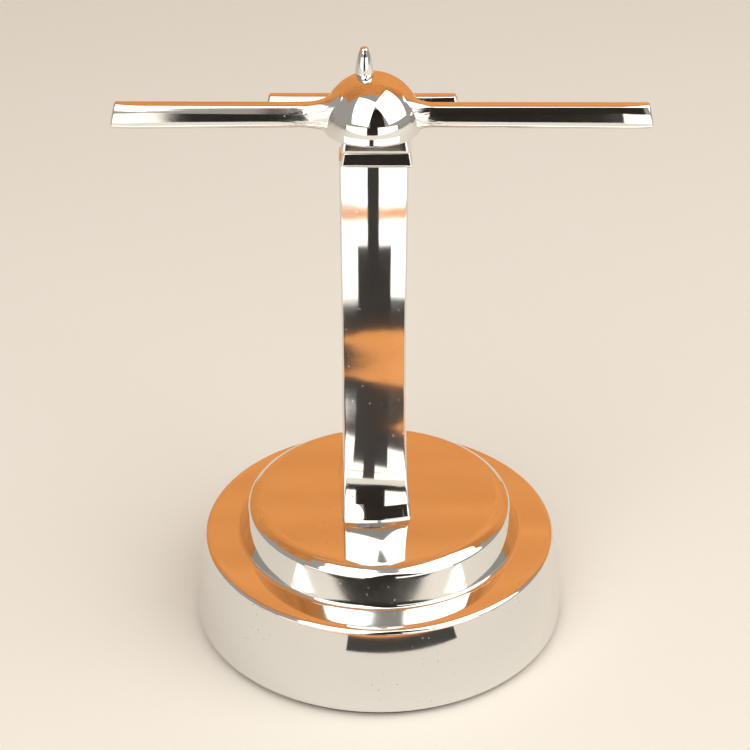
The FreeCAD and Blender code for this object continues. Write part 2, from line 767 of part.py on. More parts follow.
def makeFinial():
    body = newBody("finial")
    turned(body, "drop", [
        ("0", "0 - finialSpigotDepth"),
        ("finialNeckRadius", "0 - finialSpigotDepth"),
        ("finialNeckRadius", "finialNeckHeight"),
        ("finialRadius", "finialWaistHeight"),
        ("finialTipRadius * cos(finialTipTurn * 1deg)",
         "finialHeight - finialTipRadius * (1 - sin(finialTipTurn * 1deg))"),
        ("0", "finialHeight"),
    ], arcs={2: ("finialUnderside", -1), 3: ("finialSwell", -1), 4: ("finialTipRadius", -1)})
    put(body, "domeShift + finialShift", "0", domeFoot + " + " + finialFoot)
    return body


# ---------------------------------------------------------------- build, check and write

pieces = [
    makeFootPad(),
    makeBottomPlate(),
    makePlateScrews(),
    makeDrum(),
    makeBallast(),
    makePlateau(),
    makePostScrew(),
    makeFlatWasher(),
    makeLockWasher(),
    makeLocatingPin(),
    makePost(),
    squareBlock("collar", "collarSide", "collarHeight", "collarEdge", "collarShift", postTop),
    squareBlock("neck_block", "neckSide", "neckHeight", "neckEdge", "neckShift", collarTop),
    makeHubStud(),
    makeDome(),
    makeFinial(),
]
pieces += [makeArm(name) for name in armPlans]
document.recompute()

for item in document.Objects:
    if "Invalid" in item.State or "Error" in item.State:
        raise RuntimeError(item.Name + " failed: " + ", ".join(item.State))
for piece in pieces:
    if piece.Shape.isNull() or not piece.Shape.isValid():
        raise RuntimeError(piece.Label + " has no valid shape")

os.makedirs("parts", exist_ok=True)
for piece in pieces:
    piece.Shape.exportStep("parts/" + piece.Label + ".step")
    bounds = piece.Shape.BoundBox
    print("%-20s %2d solid(s) %9.2f mm3  X %6.2f..%6.2f  Y %6.2f..%6.2f  Z %6.2f..%6.2f" % (
        piece.Label, len(piece.Shape.Solids), piece.Shape.Volume,
        bounds.XMin, bounds.XMax, bounds.YMin, bounds.YMax, bounds.ZMin, bounds.ZMax))
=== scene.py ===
import math

import bmesh
import bpy
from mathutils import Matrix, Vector


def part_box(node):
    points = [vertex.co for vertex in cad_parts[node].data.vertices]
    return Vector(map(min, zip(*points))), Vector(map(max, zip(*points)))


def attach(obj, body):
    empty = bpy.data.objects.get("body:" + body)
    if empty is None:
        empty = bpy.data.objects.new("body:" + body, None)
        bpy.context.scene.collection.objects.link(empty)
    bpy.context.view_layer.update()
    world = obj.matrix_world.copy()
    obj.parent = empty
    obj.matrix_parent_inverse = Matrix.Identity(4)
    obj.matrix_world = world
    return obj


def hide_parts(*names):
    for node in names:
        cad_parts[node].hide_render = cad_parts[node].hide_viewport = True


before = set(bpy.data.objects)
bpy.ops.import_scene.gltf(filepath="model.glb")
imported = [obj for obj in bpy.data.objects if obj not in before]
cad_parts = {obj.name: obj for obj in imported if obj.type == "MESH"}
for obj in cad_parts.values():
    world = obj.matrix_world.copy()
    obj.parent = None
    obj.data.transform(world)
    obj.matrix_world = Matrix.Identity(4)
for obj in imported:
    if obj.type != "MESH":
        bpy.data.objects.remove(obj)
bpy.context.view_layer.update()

mm = 0.001


# small helpers for colour, nodes and meshes

def toLinear(hexColour):
    channels = [int(hexColour[place:place + 2], 16) / 255 for place in (1, 3, 5)]
    return [c / 12.92 if c <= 0.04045 else ((c + 0.055) / 1.055) ** 2.4 for c in channels] + [1.0]


def addNode(material, kind, settings=None, inputs=None):
    node = material.node_tree.nodes.new(kind)
    for name, value in (settings or {}).items():
        setattr(node, name, value)
    for name, value in (inputs or {}).items():
        if isinstance(value, bpy.types.NodeSocket):
            material.node_tree.links.new(value, node.inputs[name])
        else:
            node.inputs[name].default_value = value
    return node


def newMaterial(name):
    material = bpy.data.materials.new(name)
    material.use_nodes = True
    material.node_tree.nodes.clear()
    return material


def boxOf(node):
    # lowest and highest corner of a part of the stand, in mm
    low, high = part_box(node)
    return low / mm, high / mm


def newObject(name, points, faces, material):
    mesh = bpy.data.meshes.new(name)
    mesh.from_pydata([Vector(point) * mm for point in points], [], faces)
    work = bmesh.new()
    work.from_mesh(mesh)
    bmesh.ops.recalc_face_normals(work, faces=work.faces)
    work.to_mesh(mesh)
    work.free()
    mesh.materials.append(material)
    piece = bpy.data.objects.new(name, mesh)
    bpy.context.scene.collection.objects.link(piece)
    return piece


def newPiece(name, points, faces, node, slotName, material):
    piece = newObject(name, points, faces, material)
    for face in piece.data.polygons:
        face.use_smooth = True
    # keeps the flats flat beside their roundings
    even = piece.modifiers.new("evenShading", "WEIGHTED_NORMAL")
    even.keep_sharp = True
    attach(piece, "root")
    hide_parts(node)
    return piece


def roundedPath(corners, closed=False, cornerSteps=8, sideSteps=6, crowns=None):
    # corners are (across, up, rounding); a crown is how far a side stands out in its middle
    crowns = crowns or {}
    count = len(corners)
    arcs = []
    for place in range(count):
        corner = Vector(corners[place][:2])
        if not closed and place in (0, count - 1):
            arcs.append([corner])
            continue
        before = (Vector(corners[place - 1][:2]) - corner).normalized()
        after = (Vector(corners[(place + 1) % count][:2]) - corner).normalized()
        half = before.angle(after) / 2
        radius = corners[place][2]
        centre = corner + (before + after).normalized() * (radius / math.sin(half))
        start = corner + before * (radius / math.tan(half)) - centre
        end = corner + after * (radius / math.tan(half)) - centre
        first = math.atan2(start.y, start.x)
        sweep = math.atan2(start.x * end.y - start.y * end.x, start.dot(end))
        arcs.append([centre + Vector((math.cos(first + sweep * step / cornerSteps),
                                      math.sin(first + sweep * step / cornerSteps))) * radius
                     for step in range(cornerSteps + 1)])
    path = []
    for place in range(count if closed else count - 1):
        path += arcs[place]
        start, end = arcs[place][-1], arcs[(place + 1) % count][0]
        along = end - start
        out = Vector((along.y, -along.x)).normalized() * crowns.get(place, 0)
        for step in range(1, sideSteps):
            share = step / sideSteps
            path.append(start + along * share + out * (4 * share * (1 - share)))
    return path if closed else path + arcs[-1]


def lathe(profile, axis=(0, 0), steps=360):
    # turns a profile of (radius, height) round an upright axis; one that starts on the axis also ends there
    solid = abs(profile[0][0]) < 1e-6
    rows = profile[1:-1] if solid else profile
    count = len(rows)
    points, faces = [], []
    for step in range(steps):
        angle = 2 * math.pi * step / steps
        points += [(axis[0] + r * math.cos(angle), axis[1] + r * math.sin(angle), z) for r, z in rows]
        here, there = step * count, (step + 1) % steps * count
        for row in range(count - 1 if solid else count):
            nextRow = (row + 1) % count
            faces.append((here + row, here + nextRow, there + nextRow, there + row))
    if solid:
        for row, (_, z) in ((0, profile[0]), (count - 1, profile[-1])):
            pole = len(points)
            points.append((axis[0], axis[1], z))
            faces += [(pole, step * count + row, (step + 1) % steps * count + row) for step in range(steps)]
    return points, faces


def stackRings(rings):
    # joins rings of equal count into a closed skin with a cap at each end
    count = len(rings[0])
    points = [point for ring in rings for point in ring]
    faces = []
    for level in range(len(rings) - 1):
        for place in range(count):
            nextPlace = (place + 1) % count
            faces.append((level * count + place, level * count + nextPlace,
                          (level + 1) * count + nextPlace, (level + 1) * count + place))
    for ring, start in ((rings[0], 0), (rings[-1], (len(rings) - 1) * count)):
        middle = len(points)
        points.append(sum((Vector(point) for point in ring), Vector((0, 0, 0))) / count)
        faces += [(middle, start + place, start + (place + 1) % count) for place in range(count)]
    return points, faces


def endRounding(radius, steps=6):
    # (distance in from the end, how far the outline is drawn in) from the end face to the full outline
    return [(radius * (1 - math.cos(math.pi / 2 * step / steps)),
             radius * (1 - math.sin(math.pi / 2 * step / steps))) for step in range(steps + 1)]


def blend(table, at):
    # smooth value between the rows of a table of (place, value), with no overshoot
    places = [row[0] for row in table]
    values = [row[1] for row in table]
    if at <= places[0]:
        return values[0]
    if at >= places[-1]:
        return values[-1]
    slopes = [(values[n + 1] - values[n]) / (places[n + 1] - places[n]) for n in range(len(table) - 1)]
    bends = [slopes[0]]
    for n in range(1, len(slopes)):
        a, b = slopes[n - 1], slopes[n]
        bends.append(0 if a * b <= 0 else 2 * a * b / (a + b))
    bends.append(slopes[-1])
    n = max(place for place in range(len(table) - 1) if places[place] <= at)
    width = places[n + 1] - places[n]
    t = (at - places[n]) / width
    return (values[n] * (1 + 2 * t) * (1 - t) ** 2 + bends[n] * width * t * (1 - t) ** 2
            + values[n + 1] * t * t * (3 - 2 * t) + bends[n + 1] * width * t * t * (t - 1))


# camera: looks down on the stand from the front

cameraFit = {
    "place": (-0.05, -323.26, 245.25),  # mm
    "down": 31.04,  # degrees below level
    "turn": 0.126,  # degrees to the left
    "lens": 100.36,  # mm on a 36 mm wide sensor
}
camera = bpy.data.objects.new("camera", bpy.data.cameras.new("camera"))
bpy.context.scene.collection.objects.link(camera)
camera.location = Vector(cameraFit["place"]) * mm
camera.rotation_euler = (math.radians(90 - cameraFit["down"]), 0, math.radians(cameraFit["turn"]))
camera.data.sensor_width = 36
camera.data.lens = cameraFit["lens"]
camera.data.clip_start = 0.01
bpy.context.scene.camera = camera
print("stage: camera")


# the finishes

def chromePlate(name, look):
    # Bright chromium plated on buffed steel. The buffing leaves slow waves that bend what the metal mirrors,
    # hairlines too fine to see one by one, and a haze with specks of dust on top.
    material = newMaterial(name)
    where = addNode(material, "ShaderNodeTexCoord").outputs["Object"]
    waves = addNode(material, "ShaderNodeTexNoise", inputs={
        "Vector": where, "Scale": 1 / (look["wave"] * mm), "Detail": 1.0, "Roughness": 0.4})
    haze = addNode(material, "ShaderNodeTexNoise", inputs={
        "Vector": where, "Scale": 1 / (look["haze"] * mm), "Detail": 4.0, "Roughness": 0.6})
    stretched = addNode(material, "ShaderNodeMapping", inputs={"Vector": where, "Scale": look["grain"]})
    hairlines = addNode(material, "ShaderNodeTexNoise", inputs={
        "Vector": stretched.outputs["Vector"], "Scale": 1 / (look["hairline"] * mm), "Detail": 3.0})
    dust = addNode(material, "ShaderNodeTexVoronoi", {"feature": "F1"}, {
        "Vector": where, "Scale": 1 / (look["dustSpacing"] * mm), "Randomness": 1.0})
    speck = addNode(material, "ShaderNodeMapRange", inputs={
        "Value": dust.outputs["Distance"], "From Min": look["dustSize"], "From Max": look["dustSize"] * 0.5,
        "To Min": 0.0, "To Max": 1.0})
    gathered = addNode(material, "ShaderNodeMapRange", inputs={
        "Value": haze.outputs["Fac"], "From Min": look["dusty"][0], "From Max": look["dusty"][1]})
    dusty = addNode(material, "ShaderNodeMath", {"operation": "MULTIPLY"}, {
        0: speck.outputs["Result"], 1: gathered.outputs["Result"]})
    polish = addNode(material, "ShaderNodeMapRange", inputs={
        "Value": haze.outputs["Fac"], "From Min": 0.3, "From Max": 0.7,
        "To Min": look["roughness"][0], "To Max": look["roughness"][1]})
    rough = addNode(material, "ShaderNodeMath", {"operation": "MULTIPLY_ADD", "use_clamp": True}, {
        0: dusty.outputs["Value"], 1: look["dustDulls"], 2: polish.outputs["Result"]})
    tint = addNode(material, "ShaderNodeMix", {"data_type": "RGBA"}, {
        "Factor": dusty.outputs["Value"], "A": toLinear(look["colour"]), "B": toLinear(look["dust"])})
    slow = addNode(material, "ShaderNodeBump", inputs={
        "Height": waves.outputs["Fac"], "Strength": 1.0, "Distance": look["waveHeight"] * mm})
    fine = addNode(material, "ShaderNodeBump", inputs={
        "Height": hairlines.outputs["Fac"], "Strength": 1.0, "Distance": look["hairlineHeight"] * mm,
        "Normal": slow.outputs["Normal"]})
    normal = fine
    roughness = rough.outputs["Value"]
    if "root" in look:  # the brazed ends of the long arms were left as cast under the plate
        centre, inner, outer = look["root"]
        away = addNode(material, "ShaderNodeVectorMath", {"operation": "DISTANCE"}, {
            0: where, 1: [value * mm for value in centre]})
        near = addNode(material, "ShaderNodeMapRange", {"interpolation_type": "SMOOTHSTEP"}, {
            "Value": away.outputs["Value"], "From Min": outer * mm, "From Max": inner * mm})
        pits = addNode(material, "ShaderNodeTexNoise", inputs={
            "Vector": stretched.outputs["Vector"], "Scale": 1 / (look["pit"] * mm), "Detail": 2.0,
            "Distortion": 0.6})
        depth = addNode(material, "ShaderNodeMath", {"operation": "MULTIPLY"}, {
            0: near.outputs["Result"], 1: pits.outputs["Fac"]})
        normal = addNode(material, "ShaderNodeBump", inputs={
            "Height": depth.outputs["Value"], "Strength": 1.0, "Distance": look["pitHeight"] * mm,
            "Normal": fine.outputs["Normal"]})
        roughness = addNode(material, "ShaderNodeMath", {"operation": "MULTIPLY_ADD", "use_clamp": True}, {
            0: near.outputs["Result"], 1: look["rootDulls"], 2: roughness}).outputs["Value"]
    surface = addNode(material, "ShaderNodeBsdfPrincipled", inputs={
        "Base Color": tint.outputs["Result"], "Metallic": 1.0, "Roughness": roughness,
        "Normal": normal.outputs["Normal"]})
    addNode(material, "ShaderNodeOutputMaterial", inputs={"Surface": surface.outputs["BSDF"]})
    return material


chromeLook = {
    "colour": "#E3E3E2",
    "dust": "#B9B4AC",
    "wave": 9.0,  # mm, spacing of the buffing waves
    "waveHeight": 0.012,
    "haze": 14.0,  # mm, size of the patches where the polish is a little duller
    "hairline": 0.25,  # drawn ten times coarser than real, or it wouldn't show
    "hairlineHeight": 0.0003,
    "grain": (1.0, 1.0, 1.0),  # below 1 draws the hairlines out along that axis
    "dustSpacing": 1.6,
    "dustSize": 0.12,  # share of the spacing
    "dusty": (0.5, 0.62),  # dust lies in patches: none below the first haze value, all of it above the second
    "dustDulls": 0.35,
    "roughness": (0.03, 0.075),
}
baseChrome = chromePlate("chromeSpunBase", {**chromeLook, "waveHeight": 0.006, "wave": 14.0})
postChrome = chromePlate("chromeBuffedPost", {**chromeLook, "grain": (0.25, 0.25, 1.0), "wave": 6.0})
hubChrome = chromePlate("chromeDome", {**chromeLook, "waveHeight": 0.006})
print("stage: chrome")


def platedSteel(name):
    # Zinc plated steel, dipped and drained: soft grey with a broken, slightly blue bloom
    look = {"colour": "#A9ADB0", "bloom": "#8F98A0", "patch": 1.5, "roughness": (0.28, 0.45)}
    material = newMaterial(name)
    where = addNode(material, "ShaderNodeTexCoord").outputs["Object"]
    bloom = addNode(material, "ShaderNodeTexNoise", inputs={
        "Vector": where, "Scale": 1 / (look["patch"] * mm), "Detail": 5.0})
    colour = addNode(material, "ShaderNodeMix", {"data_type": "RGBA"}, {
        "Factor": bloom.outputs["Fac"], "A": toLinear(look["colour"]), "B": toLinear(look["bloom"])})
    rough = addNode(material, "ShaderNodeMapRange", inputs={
        "Value": bloom.outputs["Fac"], "To Min": look["roughness"][0], "To Max": look["roughness"][1]})
    bump = addNode(material, "ShaderNodeBump", inputs={
        "Height": bloom.outputs["Fac"], "Distance": 0.01 * mm, "Strength": 0.6})
    surface = addNode(material, "ShaderNodeBsdfPrincipled", inputs={
        "Base Color": colour.outputs["Result"], "Metallic": 1.0, "Roughness": rough.outputs["Result"],
        "Normal": bump.outputs["Normal"]})
    addNode(material, "ShaderNodeOutputMaterial", inputs={"Surface": surface.outputs["BSDF"]})
    return material


def castIron(name):
    # Grey iron cast in sand and left raw: dark, dull and grainy at the size of the sand
    look = {"colour": "#3B3A3A", "scale": "#5A5049", "sand": 0.4, "patch": 9.0, "roughness": (0.55, 0.8)}
    material = newMaterial(name)
    where = addNode(material, "ShaderNodeTexCoord").outputs["Object"]
    sand = addNode(material, "ShaderNodeTexNoise", inputs={
        "Vector": where, "Scale": 1 / (look["sand"] * mm), "Detail": 6.0})
    patches = addNode(material, "ShaderNodeTexNoise", inputs={
        "Vector": where, "Scale": 1 / (look["patch"] * mm), "Detail": 3.0})
    colour = addNode(material, "ShaderNodeMix", {"data_type": "RGBA"}, {
        "Factor": patches.outputs["Fac"], "A": toLinear(look["colour"]), "B": toLinear(look["scale"])})
    rough = addNode(material, "ShaderNodeMapRange", inputs={
        "Value": sand.outputs["Fac"], "To Min": look["roughness"][0], "To Max": look["roughness"][1]})
    bump = addNode(material, "ShaderNodeBump", inputs={
        "Height": sand.outputs["Fac"], "Distance": 0.08 * mm, "Strength": 0.8})
    surface = addNode(material, "ShaderNodeBsdfPrincipled", inputs={
        "Base Color": colour.outputs["Result"], "Metallic": 0.7, "Roughness": rough.outputs["Result"],
        "Normal": bump.outputs["Normal"]})
    addNode(material, "ShaderNodeOutputMaterial", inputs={"Surface": surface.outputs["BSDF"]})
    return material


def foamRubber(name):
    # Closed-cell foam rubber, die-cut from sheet: matt black with tiny open cells where it was skived
    look = {"colour": "#1F1E1D", "worn": "#34312E", "cell": 0.35, "wear": 8.0, "roughness": (0.75, 0.92)}
    material = newMaterial(name)
    where = addNode(material, "ShaderNodeTexCoord").outputs["Object"]
    cells = addNode(material, "ShaderNodeTexVoronoi", inputs={
        "Vector": where, "Scale": 1 / (look["cell"] * mm)})
    wear = addNode(material, "ShaderNodeTexNoise", inputs={
        "Vector": where, "Scale": 1 / (look["wear"] * mm), "Detail": 4.0})
    colour = addNode(material, "ShaderNodeMix", {"data_type": "RGBA"}, {
        "Factor": wear.outputs["Fac"], "A": toLinear(look["colour"]), "B": toLinear(look["worn"])})
    rough = addNode(material, "ShaderNodeMapRange", inputs={
        "Value": wear.outputs["Fac"], "To Min": look["roughness"][0], "To Max": look["roughness"][1]})
    bump = addNode(material, "ShaderNodeBump", inputs={
        "Height": cells.outputs["Distance"], "Distance": 0.05 * mm, "Strength": 0.7})
    surface = addNode(material, "ShaderNodeBsdfPrincipled", inputs={
        "Base Color": colour.outputs["Result"], "Roughness": rough.outputs["Result"],
        "Normal": bump.outputs["Normal"]})
    addNode(material, "ShaderNodeOutputMaterial", inputs={"Surface": surface.outputs["BSDF"]})
    return material


# base: drum, raised part and foot pad

drumShape = {
    "ledgeRadius": 32.6,
    "footRounding": 0.8,
    "ledgeRounding": 1.0,
    "sideCrown": 0.24,  # how far the side swells beyond straight
    "wall": 2.4,
    "cavityRadius": 30.0,
    "recessRadius": 32.0,
    "recessHeight": 1.6,
    "openingRadius": 20.1,
}
low, high = boxOf("base_drum")
footRadius = (high.x - low.x) / 2
drumProfile = roundedPath([
    (drumShape["openingRadius"], high.z, 0.1),
    (drumShape["openingRadius"], high.z - drumShape["wall"], 0.1),
    (drumShape["cavityRadius"], high.z - drumShape["wall"], 0.4),
    (drumShape["cavityRadius"], low.z + drumShape["recessHeight"], 0.1),
    (drumShape["recessRadius"], low.z + drumShape["recessHeight"], 0.1),
    (drumShape["recessRadius"], low.z, 0.2),
    (footRadius, low.z, drumShape["footRounding"]),
    (drumShape["ledgeRadius"], high.z, drumShape["ledgeRounding"]),
], closed=True, cornerSteps=10, sideSteps=14, crowns={6: drumShape["sideCrown"]})
newPiece("baseDrumShell", *lathe(drumProfile), "base_drum", "base_chrome", baseChrome)

plateauShape = {
    "flatRadius": 22.6,
    "flatRounding": 3.0,
    "shoulderDrop": 1.2,  # mm below the flat where the side turns steep
    "shoulderRadius": 24.3,
    "shoulderRounding": 1.6,
    "footRadius": 26.2,
    "footFillet": 0.8,
    "seam": 0.03,  # hairline left between it and the ledge
    "spigotRadius": 20.0,
}
ledge = high.z
low, high = boxOf("base_plateau")
plateauProfile = roundedPath([
    (0, high.z),
    (plateauShape["flatRadius"], high.z, plateauShape["flatRounding"]),
    (plateauShape["shoulderRadius"], high.z - plateauShape["shoulderDrop"],
     plateauShape["shoulderRounding"]),
    (plateauShape["footRadius"], ledge + plateauShape["seam"], plateauShape["footFillet"]),
    (plateauShape["footRadius"] + plateauShape["footFillet"], ledge + plateauShape["seam"], 0.01),
    (plateauShape["footRadius"] + plateauShape["footFillet"], ledge, 0.01),
    (plateauShape["spigotRadius"], ledge, 0.05),
    (plateauShape["spigotRadius"], low.z, 0.3),
    (0, low.z),
], cornerSteps=20, sideSteps=8)
newPiece("basePlateauCap", *lathe(plateauProfile), "base_plateau", "base_chrome", baseChrome)

padShape = {"rounding": 0.3}
low, high = boxOf("foot_pad")
padRadius = (high.x - low.x) / 2
padProfile = roundedPath([(0, high.z), (padRadius, high.z, padShape["rounding"]),
                          (padRadius, low.z, padShape["rounding"]), (0, low.z)])
newPiece("footPadDisc", *lathe(padProfile), "foot_pad", "foot_pad", foamRubber("foamRubber"))
print("stage: base")


# post: a flat bar, crowned across and flared at its foot

postShape = {
    "twist": 4.0,  # degrees at the foot
    "crown": 31.0,  # radius of the front and back faces across
    "edge": 0.7,
    "levels": 150,
    "widthSteps": 16,
    # share of the height, half width, half depth, share of the twist
    "sections": [
        (0.0, 6.3, 9.4, 1.0),
        (0.045, 6.08, 7.6, 0.9),
        (0.129, 5.85, 5.9, 0.7),
        (0.25, 5.75, 4.65, 0.4),
        (0.4, 5.7, 3.8, 0.15),
        (0.5, 5.7, 3.63, 0.05),
        (0.75, 5.8, 3.6, 0.0),
        (1.0, 5.9, 3.35, 0.0),
    ],
}


def postRing(share, centre, height):
    side, depth, twist = (blend([(row[0], row[column]) for row in postShape["sections"]], share)
                          for column in (1, 2, 3))
    edge = postShape["edge"]
    drop = postShape["crown"] - math.sqrt(postShape["crown"] ** 2 - side ** 2)
    flat = depth - drop
    corners = [(-side, -flat, edge), (side, -flat, edge), (side, flat, edge), (-side, flat, edge)]
    outline = roundedPath(corners, closed=True, cornerSteps=6, sideSteps=postShape["widthSteps"],
                          crowns={0: drop, 2: drop})
    turn = math.radians(postShape["twist"] * twist)
    return [(centre.x + p.x * math.cos(turn) - p.y * math.sin(turn),
             centre.y + p.x * math.sin(turn) + p.y * math.cos(turn), height) for p in outline]


low, high = boxOf("post")
middle = (low + high) / 2
tall = high.z - low.z
rings = []
for step in range(postShape["levels"] + 1):
    share = step / postShape["levels"]
    rings.append(postRing(share, middle, low.z + tall * share))
newPiece("postBar", *stackRings(rings), "post", "post_chrome", postChrome)
print("stage: post")


# collar, neck and dome

def squareBlock(low, high, corner, edge, crown, taper, steps=6):
    # the faces lean back by the taper between foot and top
    middle = (low + high) / 2
    half = (high.x - low.x) / 2
    tall = high.z - low.z
    rings = []
    ends = endRounding(edge)
    levels = ([(low.z + up, inset) for up, inset in ends]
              + [(low.z + edge + (tall - 2 * edge) * step / steps, 0) for step in range(1, steps)]
              + [(high.z - up, inset) for up, inset in reversed(ends)])
    for up, inset in levels:
        side = half - crown - inset - taper * (up - low.z) / tall
        outline = roundedPath([(-side, -side, corner), (side, -side, corner), (side, side, corner),
                               (-side, side, corner)], closed=True, sideSteps=14,
                              crowns={place: crown for place in range(4)})
        rings.append([(middle.x + p.x, middle.y + p.y, up) for p in outline])
    return stackRings(rings)


collarShape = {"corner": 0.35, "edge": 0.3, "crown": 0.06, "taper": 0.45}
newPiece("collarRing", *squareBlock(*boxOf("collar"), **collarShape), "collar", "post_chrome", postChrome)
neckShape = {"corner": 0.7, "edge": 0.15, "crown": 0.05, "taper": 0.3}
newPiece("neckBlock", *squareBlock(*boxOf("neck_block"), **neckShape), "neck_block", "post_chrome",
         postChrome)

domeShape = {"skirt": 1.2, "footRounding": 0.5, "steps": 80}
low, high = boxOf("hub_dome")
domeRadius = (high.x - low.x) / 2
domeCentre = Vector(((low.x + high.x) / 2, (low.y + high.y) / 2, low.z + domeShape["skirt"]))
domeProfile = [Vector((domeRadius * math.sin(math.pi / 2 * step / domeShape["steps"]),
                       domeCentre.z + domeRadius * math.cos(math.pi / 2 * step / domeShape["steps"])))
               for step in range(domeShape["steps"])]
domeProfile[0].x = 0
domeProfile += roundedPath([(domeRadius, domeCentre.z), (domeRadius, low.z, domeShape["footRounding"]),
                            (0, low.z)])
newPiece("hubDome", *lathe(domeProfile, domeCentre), "hub_dome", "hub_chrome", hubChrome)

finialShape = {
    "neckRadius": 1.3,
    "neckHeight": -0.2,  # from the dome's surface on the finial's axis
    "waistHeight": 0.5,
    "tipRadius": 0.66,
    "swell": 0.13,  # how far the side stands out between waist and tip
    "sunk": 2.2,  # how deep its foot stands in the dome
}
low, high = boxOf("finial")
finialRadius = (high.x - low.x) / 2
foot = low.z + finialShape["sunk"]
finialProfile = roundedPath([
    (0, high.z),
    (finialShape["tipRadius"], high.z, finialShape["tipRadius"] * 0.75),
    (finialRadius, foot + finialShape["waistHeight"], 0.3),
    (finialShape["neckRadius"], foot + finialShape["neckHeight"], 0.15),
    (finialShape["neckRadius"], low.z, 0.05),
    (0, low.z),
], cornerSteps=10, sideSteps=12, crowns={1: -finialShape["swell"]})
newPiece("finialDrop", *lathe(finialProfile, (low + high) / 2, steps=128), "finial", "hub_chrome", hubChrome)
print("stage: hub")


# arms

longArmShape = {
    "innerEnd": 4.2,  # mm from the dome's axis, hidden in the dome
    "depthBelow": 3.1,  # along the lower edge
    "depthAbove": 2.2,  # along the upper edge: the front face leans back
    "rounding": 0.65,
    "crown": 0.10,  # the faces are slightly domed by the buffing
    "tipRounding": 0.35,
    "tipLean": 0.9,
    "tipDrop": 0.4,  # the lower edge runs down towards the tip
    "tipTurn": 0.6,  # the front face falls back by this much
    "tipTurnLength": 5,  # over the last few mm
    "rootHeight": 3.7,
    "flareFull": 6,  # mm from the dome's axis, where the brazed root has its full size
    "flareLimit": 1.15,
    "flareBend": 2.2,
    "flareRounding": 1.6,
    "rings": 110,
}
shortArmShape = {**longArmShape, "depthBelow": 2.8, "depthAbove": 1.85, "rounding": 0.7, "tipRounding": 0.55,
                 "tipLean": 0.4, "tipDrop": 0.0, "tipTurn": 0.1, "rootHeight": 2.7, "rings": 60}


def makeArm(name, node, shape, place, material):
    low, high = boxOf(node)
    side = -1 if abs(low.x) > abs(high.x) else 1
    axis = domeCentre.x * side
    reach = max(low.x * side, high.x * side)
    start = axis + shape["innerEnd"]
    lean = (shape["depthBelow"] - shape["depthAbove"]) / 2
    ends = [(reach - along, inset) for along, inset in endRounding(shape["tipRounding"], 8)]
    body = [(start + (reach - shape["tipRounding"] - start) * step / shape["rings"], 0)
            for step in range(shape["rings"])]
    rings = []
    for along, inset in body + list(reversed(ends)):
        share = (along - start) / (reach - start)
        height = shape["rootHeight"] + (place["tipHeight"] - shape["rootHeight"]) * share
        near = (place["flareStart"] - (along - axis)) / (place["flareStart"] - shape["flareFull"])
        grow = min(max(near, 0), shape["flareLimit"]) ** shape["flareBend"]
        out = place["flareOut"] * grow
        nearTip = min(max((along - reach) / shape["tipTurnLength"] + 1, 0), 1)
        turn = shape["tipTurn"] * nearTip ** 2
        up = height / 2 + place["flareUp"] * grow - inset
        under = shape["depthBelow"] / 2 + out - inset
        above = shape["depthAbove"] / 2 + out - inset
        rounding = max(shape["rounding"] + out * shape["flareRounding"] - inset * 0.6, 0.12)
        rounding = min(rounding, above * 0.9, up * 0.9)  # leaves a little flat between the roundings
        outline = roundedPath([(-under + turn, -up, rounding), (under, -up, rounding),
                               (above + lean, up, rounding), (-above + lean + turn, up, rounding)],
                              closed=True, sideSteps=10, crowns={1: shape["crown"], 3: shape["crown"]})
        middle = place["foot"] - shape["tipDrop"] * share + height / 2
        ring = []
        for p in outline:
            leanIn = shape["tipLean"] * (p.y + height / 2) / height * share
            ring.append(((along - leanIn) * side, place["middle"] + p.x, middle + p.y))
        rings.append(ring)
    return newPiece(name, *stackRings(rings), node, "arm_chrome", material)


# middle along Y, underside at the root, height at the tip; the flare starts at a distance from the dome's
# axis and grows towards it by this much upwards and outwards
leftPlace = {"middle": -2.0, "foot": 100.75, "tipHeight": 4.2, "flareStart": 12.2, "flareUp": 1.9,
             "flareOut": 1.2}
rightPlace = {"middle": -2.0, "foot": 100.75, "tipHeight": 4.1, "flareStart": 10.6, "flareUp": 1.7,
              "flareOut": 1.1}
rearPlace = {"middle": 6.65, "foot": 99.7, "tipHeight": 2.7, "flareStart": 8.0, "flareUp": 0.4,
             "flareOut": 0.3}
rootLook = {**chromeLook, "grain": (0.3, 1.0, 1.0), "pit": 0.7, "pitHeight": 0.045, "rootDulls": 0.08}
leftChrome = chromePlate("chromeLeftArm", {**rootLook, "root": (domeCentre, 11.0, 17.0)})
rightChrome = chromePlate("chromeRightArm", {**rootLook, "root": (domeCentre, 10.0, 13.0)})
rearChrome = chromePlate("chromeRearArms", chromeLook)
makeArm("longArmLeft", "front_left_arm", longArmShape, leftPlace, leftChrome)
makeArm("longArmRight", "front_right_arm", longArmShape, rightPlace, rightChrome)
makeArm("shortArmLeft", "rear_left_arm", shortArmShape, rearPlace, rearChrome)
makeArm("shortArmRight", "rear_right_arm", shortArmShape, rearPlace, rearChrome)
print("stage: arms")


# the parts inside the base keep their own shapes

steel, iron = platedSteel("zincPlatedSteel"), castIron("rawCastIron")
shown = {"base_drum", "base_plateau", "foot_pad", "post", "collar", "neck_block", "hub_dome", "finial",
         "front_left_arm", "front_right_arm", "rear_left_arm", "rear_right_arm"}
for name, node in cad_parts.items():
    if name not in shown:
        for place in node.material_slots:
            place.material = iron if name == "ballast_weight" else steel
print("stage: inner parts")


# floor, cards and light

def mirrorCard(name, points, faces, material):
    # a card that only the chrome mirrors: it isn't seen itself and throws no shade
    piece = newObject(name, points, faces, material)
    piece.visible_camera = piece.visible_diffuse = piece.visible_shadow = False


